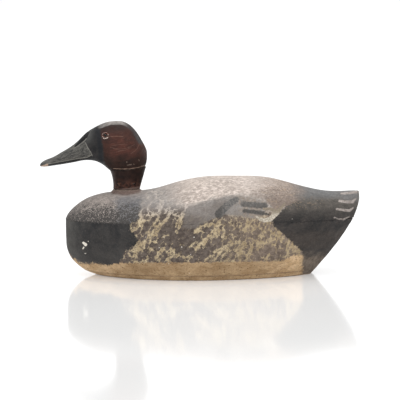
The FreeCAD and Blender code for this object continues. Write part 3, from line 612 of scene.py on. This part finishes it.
def band_breast_and_tail(paint, height, base):
    """The bare band, the breast and the tail over the base."""
    band_top = paint.add(paint.ramp(paint.x, 100, 124, 14, 22),
                         paint.ramp(paint.x, -158, -172, 0, 15))
    band = paint.rough_edge(paint.add(band_top, paint.times(height, -1.0)), 4.6, 1.4, 3.4, 39)
    base = paint.mix(band, base, band_layers(paint))
    chest_soft = paint.add(paint.ramp(height, 70, 92, 0.9, 5.0),
                           paint.ramp(height, 100, 112, 0.0, 5.0))
    nibbled = paint.add(paint.mark("breast"), paint.wander(9, 1.4, 115))
    breast = paint.rough_edge(nibbled, 6.0, chest_soft, 6, 40)
    base = paint.mix(breast, base, breast_layers(paint, height))
    # Smear at the neck's foot, partly painted shade of the crease between neck and shelf.
    smear_and_shade = paint.rough_edge(paint.mark("smear_and_shade"), 3.0, 2.0, 5, 41)
    base = paint.glaze(base, smear_and_shade, 0.75, colour(100, 78, 69))
    tail_soft = paint.add(paint.ramp(height, 86, 100, 1.0, 8.5),
                          paint.ramp(height, 40, 15, 0.0, 1.6))
    tail = paint.rough_edge(paint.mark("tail"), 4.5, tail_soft, 4, 42)
    base = paint.mix(tail, base, tail_layers(paint, height))
    rump = paint.times(paint.ramp(paint.x, 108, 132), paint.ramp(paint.x, 200, 160, 0.5, 1.0),
                       paint.ramp(height, 94, 102, 0.0, 0.5))
    return paint.mix(rump, base, colour(92, 92, 92))


def body_paint():
    """The whole body's paint, from the flank up to the feathers, chips and wear."""
    paint = Paint("old_body_paint", specular=0.12)
    height = paint.mark("height")
    base, dabs = flank_back_and_wing(paint, height)
    base = band_breast_and_tail(paint, height, base)
    base = painted_feathers(paint, height, base)
    chips = white_chips(paint, height)
    base = paint.mix(chips, base, colour(230, 223, 211))

    wear = paint.worn_edges(0.25, 4, 50, 0.16, 0.34)
    base = paint.glaze(base, wear, 0.3, colour(150, 134, 116))
    sole = paint.ramp(paint.z, 1.2, 0.4)
    boards = paint.mottled(colour(150, 126, 98), colour(118, 98, 76), 3.0, 51, 16.0)
    base = paint.mix(sole, base, boards)
    grime = paint.ramp(paint.cloud(34, 52), 0.3, 0.7, 0.92, 1.05)
    grain = paint.ramp(paint.cloud(1.2, 53, 2.4, 20), 0.25, 0.75, 0.82, 1.17)
    speckle = paint.ramp(paint.cloud(2.4, 116, 1.5, 30), 0.32, 0.68, -0.13, 0.13)
    speckle = paint.times(speckle, paint.ramp(height, 84, 96))
    base = paint.shaded(base, paint.times(grime, grain, paint.add(speckle, 1.0)))

    relief = paint.add(paint.times(paint.cloud(0.9, 54, 9.0), 0.20), paint.times(dabs, 0.10),
                       paint.times(paint.cloud(2.6, 55), 0.35), paint.times(chips, -0.25))
    paint.bump(relief, 0.7)
    gloss = paint.ramp(paint.cloud(12, 56), 0.3, 0.7, 0.55, 0.78)
    return paint.finish(base, gloss)


def cheek_and_neck(paint, height):
    """Dark red-brown cheek, nearly black low down, with painted shade under the crown's edge and
    darker towards the front, over a darker neck.
    """
    red = paint.mottled(colour(79, 46, 38), colour(60, 36, 31), 7, 60, 2.5, 8)
    strands = paint.ramp(paint.cloud(1.0, 61, 10.0, 14), 0.5, 0.72)
    red = paint.glaze(red, strands, 0.4, colour(104, 72, 62))
    low = paint.mottled(colour(50, 32, 26), colour(35, 24, 20), 6, 62, 2.0, 0)
    fade = paint.add(height, paint.wander(16, 7, 63))
    cheek = paint.mix(paint.ramp(fade, 162, 146), red, low)
    # Painted shadow: the cheek darkens close under the crown's edge, where the crown shades it; it
    # is also darkened towards the front.
    deep = paint.ramp(paint.drifting(paint.mark("ridge"), 6, 5, 110), 27, 7)
    deep = paint.times(deep, paint.ramp(paint.x, -84, -104, 0.35, 0.85))
    ahead = paint.ramp(paint.drifting(paint.x, 8, 4, 114), -106, -117)
    deep = paint.math("MAXIMUM", deep, paint.times(ahead, 0.5))
    cheek = paint.mix(deep, cheek, colour(38, 27, 23))
    neck = paint.mottled(colour(31, 19, 16), colour(45, 29, 24), 6, 64, 1.0, 0)
    warm = paint.times(paint.ramp(height, 127, 118), paint.ramp(paint.cloud(5, 65), 0.38, 0.62))
    neck = paint.glaze(neck, warm, 0.8, colour(84, 54, 44))
    base = paint.mix(paint.ramp(height, 140, 136), cheek, neck)
    foot = paint.add(paint.times(paint.x, 0.13), 125.2, paint.times(height, -1.0))
    base = paint.mix(paint.rough_edge(foot, 1.6, 0.7, 3, 113), base, colour(104, 85, 78))
    front = paint.ramp(paint.drifting(paint.x, 3, 5, 66), -107, -113)
    front = paint.times(front, paint.ramp(height, 138, 131))
    return paint.glaze(base, front, 0.6, colour(74, 65, 61))


def face_and_bill(paint, height, base):
    """Black face with a bluish rear edge, and a combed slate bill, over the base."""
    black = paint.mottled(colour(33, 33, 34), colour(48, 46, 46), 6, 67, 1.6, 80)
    blue_edge = paint.ramp(paint.away(paint.mark("face"), 4.0), 4.5, 1.0)
    black = paint.glaze(black, blue_edge, 0.75, colour(26, 28, 32))
    dusty = paint.times(paint.ramp(paint.x, -134, -147), paint.ramp(height, 166, 182))
    black = paint.glaze(black, dusty, 0.8, colour(80, 80, 78))
    face = paint.rough_edge(paint.mark("face"), 2.4, 1.8, 3, 68)
    base = paint.mix(face, base, black)
    slate = paint.mottled(colour(56, 56, 55), colour(90, 88, 84), 3, 69, 3.0, 25)
    combed = paint.ramp(paint.cloud(0.9, 70, 5.0, 30), 0.48, 0.72)
    slate = paint.glaze(slate, combed, 0.6, colour(126, 122, 115))
    bill = paint.rough_edge(paint.mark("bill"), 0.6, 0.5, 3, 71)
    base = paint.mix(bill, base, slate)
    under = paint.times(paint.ramp(paint.mark("mandible"), 0.2, -0.4), bill)
    return paint.mix(under, base, colour(37, 37, 37))


def planed_crown(paint, base):
    """The worn band over the top of the head, pale in the middle and dark at the nape; its pale
    grey is partly a painted highlight of the light from above.
    """
    # Pale grey of the crown: worn paint, and partly a painted highlight on the upward-facing top
    # of the head.
    pale = paint.mottled(colour(156, 150, 146), colour(124, 119, 115), 7, 73)
    nape = paint.mottled(colour(60, 58, 58), colour(42, 39, 38), 6, 74)
    brow = paint.mottled(colour(112, 109, 106), colour(86, 84, 82), 5, 75)
    rear = paint.ramp(paint.drifting(paint.x, 6, 4, 111), -99, -87)
    crown = paint.rough_edge(paint.mark("crown"), 0.35, paint.add(rear, 0.16), 4, 72)
    band = paint.mix(rear, pale, nape)
    band = paint.mix(paint.ramp(paint.x, -114, -134), band, brow)
    base = paint.glaze(base, crown, 0.92, band)
    rim = paint.times(paint.ramp(paint.math("ABSOLUTE", paint.mark("crown")), 0.5, 0.12),
                      paint.ramp(paint.x, -88, -104))
    return paint.glaze(base, rim, 0.6, colour(44, 35, 32))


def head_paint():
    """Slate bill, black face, dark red-brown cheek and neck with painted shade under the crown,
    and a pale worn crown that is partly a painted highlight.
    """
    paint = Paint("old_head_paint", specular=0.16)
    height = paint.mark("height")
    base = cheek_and_neck(paint, height)
    base = face_and_bill(paint, height, base)
    base = planed_crown(paint, base)

    wedge = paint.rough_edge(paint.mark("wedge"), 0.5, 0.4, 3, 76)
    base = paint.mix(wedge, base, colour(17, 17, 18))
    pale_lines = 0.0
    for name, seed in (("rim", 77), ("bill_edge", 78), ("lip", 112)):
        line = paint.rough_edge(paint.mark(name), 0.5, 0.35, 2.5, seed)
        pale_lines = paint.math("MAXIMUM", pale_lines, line)
    base = paint.glaze(base, pale_lines, 0.65, colour(138, 134, 127))
    joint = paint.rough_edge(paint.mark("joint"), 0.5, 0.35, 3, 79)
    joint = paint.times(joint, paint.ramp(paint.x, -78, -84, 0.35, 0.75))
    base = paint.mix(joint, base, colour(186, 158, 140))
    scratches = paint.rough_edge(paint.mark("scratches"), 0.35, 0.3, 3, 80)
    base = paint.glaze(base, scratches, 0.55, colour(124, 96, 84))
    chips = paint.rough_edge(paint.mark("chips"), 0.9, 0.4, 1.3, 81)
    base = paint.glaze(base, chips, 0.5, colour(136, 118, 106))
    tip = paint.rough_edge(paint.mark("tip"), 1.0, 0.6, 2, 82)
    base = paint.glaze(base, tip, 0.9, colour(176, 152, 134))

    wear = paint.worn_edges(0.16, 3, 83, 0.12, 0.24)
    base = paint.glaze(base, wear, 0.16, colour(128, 120, 112))
    base = paint.shaded(base, paint.ramp(paint.cloud(0.8, 84, 3.0, 10), 0.25, 0.75, 0.82, 1.18))
    relief = paint.add(paint.times(paint.cloud(0.7, 85, 7.0, 12), 0.16),
                       paint.times(paint.cloud(2.0, 86), 0.22), paint.times(chips, -0.2))
    paint.bump(relief, 0.7)
    gloss = paint.ramp(paint.cloud(9, 87), 0.3, 0.7, 0.46, 0.70)
    return paint.finish(base, gloss)


def putty_paint():
    """Pale filler round the glass, cracked and dirty in places."""
    paint = Paint("eye_putty", roughness=0.7)
    base = paint.mottled(colour(226, 212, 203), colour(192, 172, 160), 1.6, 90)
    gaps = paint.ramp(paint.cloud(2.6, 91, detail=2.0), 0.54, 0.62)
    base = paint.mix(gaps, base, colour(76, 52, 45))
    low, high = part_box("left_eye_putty")
    middle = (low + high) / 2 / MM
    across = paint.add(paint.x, -middle.x)
    up = paint.add(paint.z, -middle.z)
    from_eye = paint.math("SQRT", paint.add(paint.times(across, across), paint.times(up, up)))
    base = paint.mix(paint.rough_edge(paint.add(from_eye, -4.3), 0.3, 0.2, 1.5, 94), base,
                     colour(86, 50, 42))
    paint.bump(paint.times(paint.cloud(0.6, 92), 0.2))
    return paint.finish(base)


def bare_wood(name, light, dark, size=1.6):
    """Unpainted wood with a fine grain along X."""
    paint = Paint(name, roughness=0.75)
    base = paint.mottled(light, dark, size, 93, 18.0)
    pores = paint.ramp(paint.cloud(0.5, 94, 14.0), 0.58, 0.7)
    base = paint.glaze(base, pores, 0.5, colour(80, 60, 42))
    paint.bump(paint.times(paint.cloud(0.6, 95, 14.0), 0.2))
    return paint.finish(base, paint.ramp(paint.cloud(6, 96), 0.3, 0.7, 0.62, 0.85))


def rusty_steel():
    """Bright steel, half of it under rust."""
    paint = Paint("rusty_steel", specular=0.5)
    rust = paint.mottled(colour(112, 66, 40), colour(72, 46, 34), 1.2, 97)
    metal = paint.mottled(colour(122, 118, 112), colour(92, 88, 84), 1.5, 98)
    share = paint.ramp(paint.cloud(1.7, 99, detail=5.0), 0.40, 0.56)
    paint.feed(paint.shader.inputs["Metallic"], paint.math("SUBTRACT", 1.0, share))
    paint.bump(paint.add(paint.times(share, 0.12), paint.times(paint.cloud(0.35, 100), 0.15)))
    return paint.finish(paint.mix(share, metal, rust), paint.ramp(share, 0, 1, 0.36, 0.85))


def dull_lead():
    """Grey metal with a pale bloom and small nicks."""
    paint = Paint("dull_lead", specular=0.4, Metallic=0.75)
    base = paint.mottled(colour(118, 120, 122), colour(90, 91, 94), 7, 101)
    bloom = paint.ramp(paint.cloud(3.0, 102, detail=5.0), 0.5, 0.66)
    base = paint.glaze(base, bloom, 0.7, colour(158, 158, 154))
    dots, own = paint.spots(3.0, 103)
    nicks = paint.times(paint.ramp(dots, 0.25, 0.1), paint.ramp(own, 0.7, 0.75))
    paint.bump(paint.add(paint.times(paint.cloud(1.4, 104), 0.25), paint.times(nicks, -0.3)))
    return paint.finish(base, paint.ramp(bloom, 0, 1, 0.42, 0.7))


def eye_glass():
    """Clear glass, faintly hazed."""
    paint = Paint("eye_glass", roughness=0.03, specular=0.3)
    paint.shader.inputs["Transmission Weight"].default_value = 1.0
    paint.shader.inputs["IOR"].default_value = 1.3
    haze = paint.ramp(paint.cloud(1.5, 105, detail=4.0), 0.5, 0.8, 0.02, 0.10)
    return paint.finish(paint.mottled(colour(252, 246, 238), colour(240, 230, 216), 3, 106), haze)


def eye_back(name, light, dark):
    """The colour painted behind the glass."""
    paint = Paint(name, roughness=0.35)
    return paint.finish(paint.mottled(light, dark, 0.6, 107))


# ---------- carved wooden pieces

def hand_carving(carving, long_marks, dimples, seed):
    """Shallow strokes of the knife and rasp over a wooden surface."""
    strokes = waves(carving.points, (0.060, 0.014, 0.012), seed)
    small = waves(carving.points, (0.011, 0.008, 0.007), seed + 20)
    carving.cut(long_marks * (0.5 + 0.5 * strokes) + dimples * (0.5 + 0.5 * small))


def wavy_on_top(points, side):
    """Side layout with its borders running in waves across the top of the back."""
    wavy = side.copy()
    on_top = np.clip((side[:, 1] - 100) / 8, 0, 1)
    wavy[:, 0] += 6 * np.sin(np.abs(points[:, 1]) / (8 * MM)) * on_top
    return wavy


def body_piece(node, name, pitch, material):
    """One wooden part of the body. Its joint faces and its sole stay flat."""
    carving = Carving(node, name, pitch)
    before = carving.points.copy()
    level, facing = before[:, 2], np.abs(carving.normals[:, 2]) > 0.8
    flat = (np.abs(level - SEAM_LEVEL) < FLAT_WITHIN) & facing
    flat |= (np.abs(level - BOARD_TOP) < FLAT_WITHIN) & facing
    flat |= level < FLAT_WITHIN
    hand_carving(carving, 0.45, 0.22, 0.0)
    carving.points[flat] = before[flat]
    from_seam = np.abs(level - SEAM_LEVEL)
    carving.points[from_seam < 1.0 * MM, 2] = SEAM_LEVEL
    carving.settle()

    side = carving.side
    wavy = wavy_on_top(carving.points, side)
    carving.mark("height", side[:, 1])
    areas = {"breast": (wavy, BREAST), "tail": (wavy, TAIL), "wing": (side, WING),
             "back": (wavy, BACK)}
    for label, (layout, outline) in areas.items():
        carving.mark(label, patch(layout, outline))
    strokes = {"feathers": DARK_FEATHERS, "white": WHITE_FEATHER, "tail_feathers": TAIL_FEATHERS,
               "bare": BARE_STREAKS, "dark": DARK_DABS, "smear_and_shade": NECK_FOOT_SMEAR_AND_SHADE}
    for label, found in strokes.items():
        carving.mark(label, brush(side, found))
    carving.mark("chips", near_flank(carving.points, brush(side, WHITE_CHIPS)))
    carving.mark("edge", carving.standing_out() * np.clip(from_seam / (6 * MM) - 0.5, 0, 1))
    carving.finish("decoy", "painted_wood", material)


def plane_crown(carving):
    """Plane the crown and nape to a shallow roof. Returns how far inside the planed band
    each point is, and how far in it lies from the ridge in side view."""
    reach = carving.points[:, [0, 2]] - np.array(HEAD_MIDDLE)
    radius = np.linalg.norm(reach, axis=1)
    angle = np.degrees(np.arctan2(reach[:, 1], reach[:, 0]))
    steps = np.arange(-40, 161, 4.0)
    ridge = [radius[np.abs(angle - step) < 2.5].max() for step in steps]
    ridge = np.interp(angle, steps, ridge)
    fade = np.interp(angle, [2, 30, 122, 150], [0, 1, 1, 0])
    slope = np.interp(angle, [20, 60, 100], [0.30, 0.36, 0.42])
    planed = radius - ridge + slope * np.abs(carving.points[:, 1])
    share = fade * np.maximum(planed, 0) / radius
    carving.points[:, [0, 2]] -= reach * share[:, None]
    carving.settle()
    painted = np.maximum(planed, 1.2 * MM + radius - ridge)
    painted = np.where(fade > 0, painted - (1 - fade) * 3 * MM, -2 * MM)
    return painted / MM, np.where(angle > -28, ridge - radius, FAR_FROM_RIDGE * MM) / MM


def groove(distance, depth, width):
    """Depth of a carved line at a signed distance from its brush mark's edge."""
    return depth * np.exp(-(np.minimum(distance, 0) / width) ** 2)


def head_piece(node, name, pitch, material):
    """The neck, or the head with its planed crown and the lines carved round the bill."""
    carving = Carving(node, name, pitch)
    hand_carving(carving, 0.25, 0.18, 5.0)
    planed, from_ridge = np.full((2, len(carving.points)), [[UNPAINTED], [FAR_FROM_RIDGE]])
    if node == "head_block":
        planed, from_ridge = plane_crown(carving)
    side = carving.side
    lines = {"bill_edge": BILL_EDGE, "joint": NECK_JOINT, "rim": FOREHEAD_RIM,
             "wedge": FOREHEAD_WEDGE, "chips": HEAD_CHIPS, "scratches": CHEEK_SCRATCHES,
             "tip": BILL_TIP_WEAR, "lip": MANDIBLE_LINE}
    marks = {label: brush(side, found) for label, found in lines.items()}
    for label in ("chips", "scratches", "tip"):
        marks[label] = near_flank(carving.points, marks[label])
    depth = groove(marks["bill_edge"], 0.7, 0.8) + groove(marks["lip"], 0.5, 0.6)
    depth += groove(marks["chips"], 0.3, 0.4) + groove(marks["wedge"], 0.6, 0.8)
    depth[np.abs(carving.points[:, 1]) < 0.5 * MM] *= 0.3
    carving.cut(depth)
    for label, values in marks.items():
        carving.mark(label, values)
    lip_x, lip_level = zip(*MANDIBLE_LINE[0][2])
    carving.mark("mandible", side[:, 1] + LIP_DROP - np.interp(side[:, 0], lip_x, lip_level))
    carving.mark("crown", planed)
    carving.mark("ridge", from_ridge)
    carving.mark("height", side[:, 1])
    carving.mark("bill", patch(side, BILL))
    carving.mark("face", patch(side, FACE))
    carving.mark("edge", carving.standing_out())
    carving.finish("decoy", "head_paint", material)


def putty_piece(node, name, material):
    """A ring of filler, pressed in by hand."""
    carving = Carving(node, name, PUTTY_PITCH)
    carving.cut(0.22 * waves(carving.points, 0.0012, 3.0))
    carving.finish("decoy", "putty", material)


def lead_piece(node, name, material):
    """The ballast, with the dull ripples of a poured casting."""
    carving = Carving(node, name, LEAD_PITCH)
    broad, fine = waves(carving.points, 0.009, 4.0), waves(carving.points, 0.003, 5.0)
    carving.cut(0.25 * (1 + broad) + 0.12 * fine)
    carving.finish("decoy", "lead", material)


def build_object():
    """Carve the painted pieces, then give every other CAD piece its material."""
    body, head, putty = body_paint(), head_paint(), putty_paint()
    steel, lead = rusty_steel(), dull_lead()
    body_piece("body_upper_half", "carved_upper_half", BODY_PITCH, body)
    body_piece("body_lower_half", "carved_lower_half", BODY_PITCH, body)
    body_piece("bottom_board", "carved_bottom_board", BOARD_PITCH, body)
    head_piece("neck_block", "carved_neck", NECK_PITCH, head)
    head_piece("head_block", "carved_head", HEAD_PITCH, head)
    for side in ("left", "right"):
        putty_piece(f"{side}_eye_putty", f"{side}_putty_ring", putty)
    lead_piece("lead_weight", "cast_lead_weight", lead)

    peg_wood = bare_wood("peg_wood", colour(196, 164, 120), colour(160, 128, 88))
    pine = bare_wood("old_pine", colour(176, 146, 108), colour(132, 104, 74), 2.4)
    glass = eye_glass()
    iris = eye_back("eye_iris", colour(120, 58, 42), colour(84, 40, 30))
    pupil = eye_back("eye_pupil", colour(14, 12, 12), colour(8, 8, 8))
    finishes = {"body_dowels": peg_wood, "neck_dowel": peg_wood, "inner_cleat": pine}
    for side in ("left", "right"):
        finishes.update({f"{side}_eye_glass": glass, f"{side}_eye_iris": iris,
                         f"{side}_eye_pupil": pupil})
    for name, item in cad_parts.items():
        if item.hide_render:
            continue
        for slot in item.material_slots:
            slot.material = finishes.get(name, steel)


# ---------- stage, light, camera

def make_stage():
    """A glossy white floor under a plain white sky."""
    bpy.ops.mesh.primitive_plane_add(size=FLOOR_SIZE, location=(0, 0, -FLOOR_GAP))
    floor = bpy.context.object
    floor.name = "studio_floor"
    paint = Paint("studio_floor", roughness=0.10, specular=0.9)
    looks = {"Coat Weight": 0.35, "Coat Roughness": 0.08, "Emission Color": WHITE,
             "Emission Strength": FLOOR_GLOW}
    for name, value in looks.items():
        paint.feed(paint.shader.inputs[name], value)
    floor.data.materials.append(paint.finish(FLOOR_COLOUR))
    world = bpy.data.worlds.new("studio")
    bpy.context.scene.world = world
    world.use_nodes = True
    background = world.node_tree.nodes["Background"]
    background.inputs["Color"].default_value = WHITE
    background.inputs["Strength"].default_value = SKY_STRENGTH


def softbox(name, place, aim, size, power):
    """A square lamp turned towards a point."""
    data = bpy.data.lights.new(name, "AREA")
    data.size, data.energy = size, power
    lamp = new_object(name, data)
    lamp.location = place
    lamp.rotation_euler = (Vector(aim) - Vector(place)).to_track_quat("-Z", "Y").to_euler()


def make_camera():
    """A long lens in front of the near flank, a little above it and slightly rolled."""
    data = bpy.data.cameras.new("camera")
    data.lens, data.sensor_width = CAMERA_LENS, 36.0
    camera = new_object("camera", data)
    back = Vector((0, -math.cos(ELEVATION), math.sin(ELEVATION)))
    camera.location = Vector((0, 0, AIM_LEVEL)) + back * CAMERA_DISTANCE
    turn = (-back).to_track_quat("-Z", "Y").to_matrix() @ Matrix.Rotation(-CAMERA_ROLL, 3, "Z")
    camera.rotation_euler = turn.to_euler()
    bpy.context.scene.camera = camera


make_camera()
make_stage()
softbox("overhead", (0.0, -0.25, 1.5), (0, 0, 0.1), 1.3, 9.0)
bpy.context.scene.view_settings.view_transform = "Standard"
build_object()
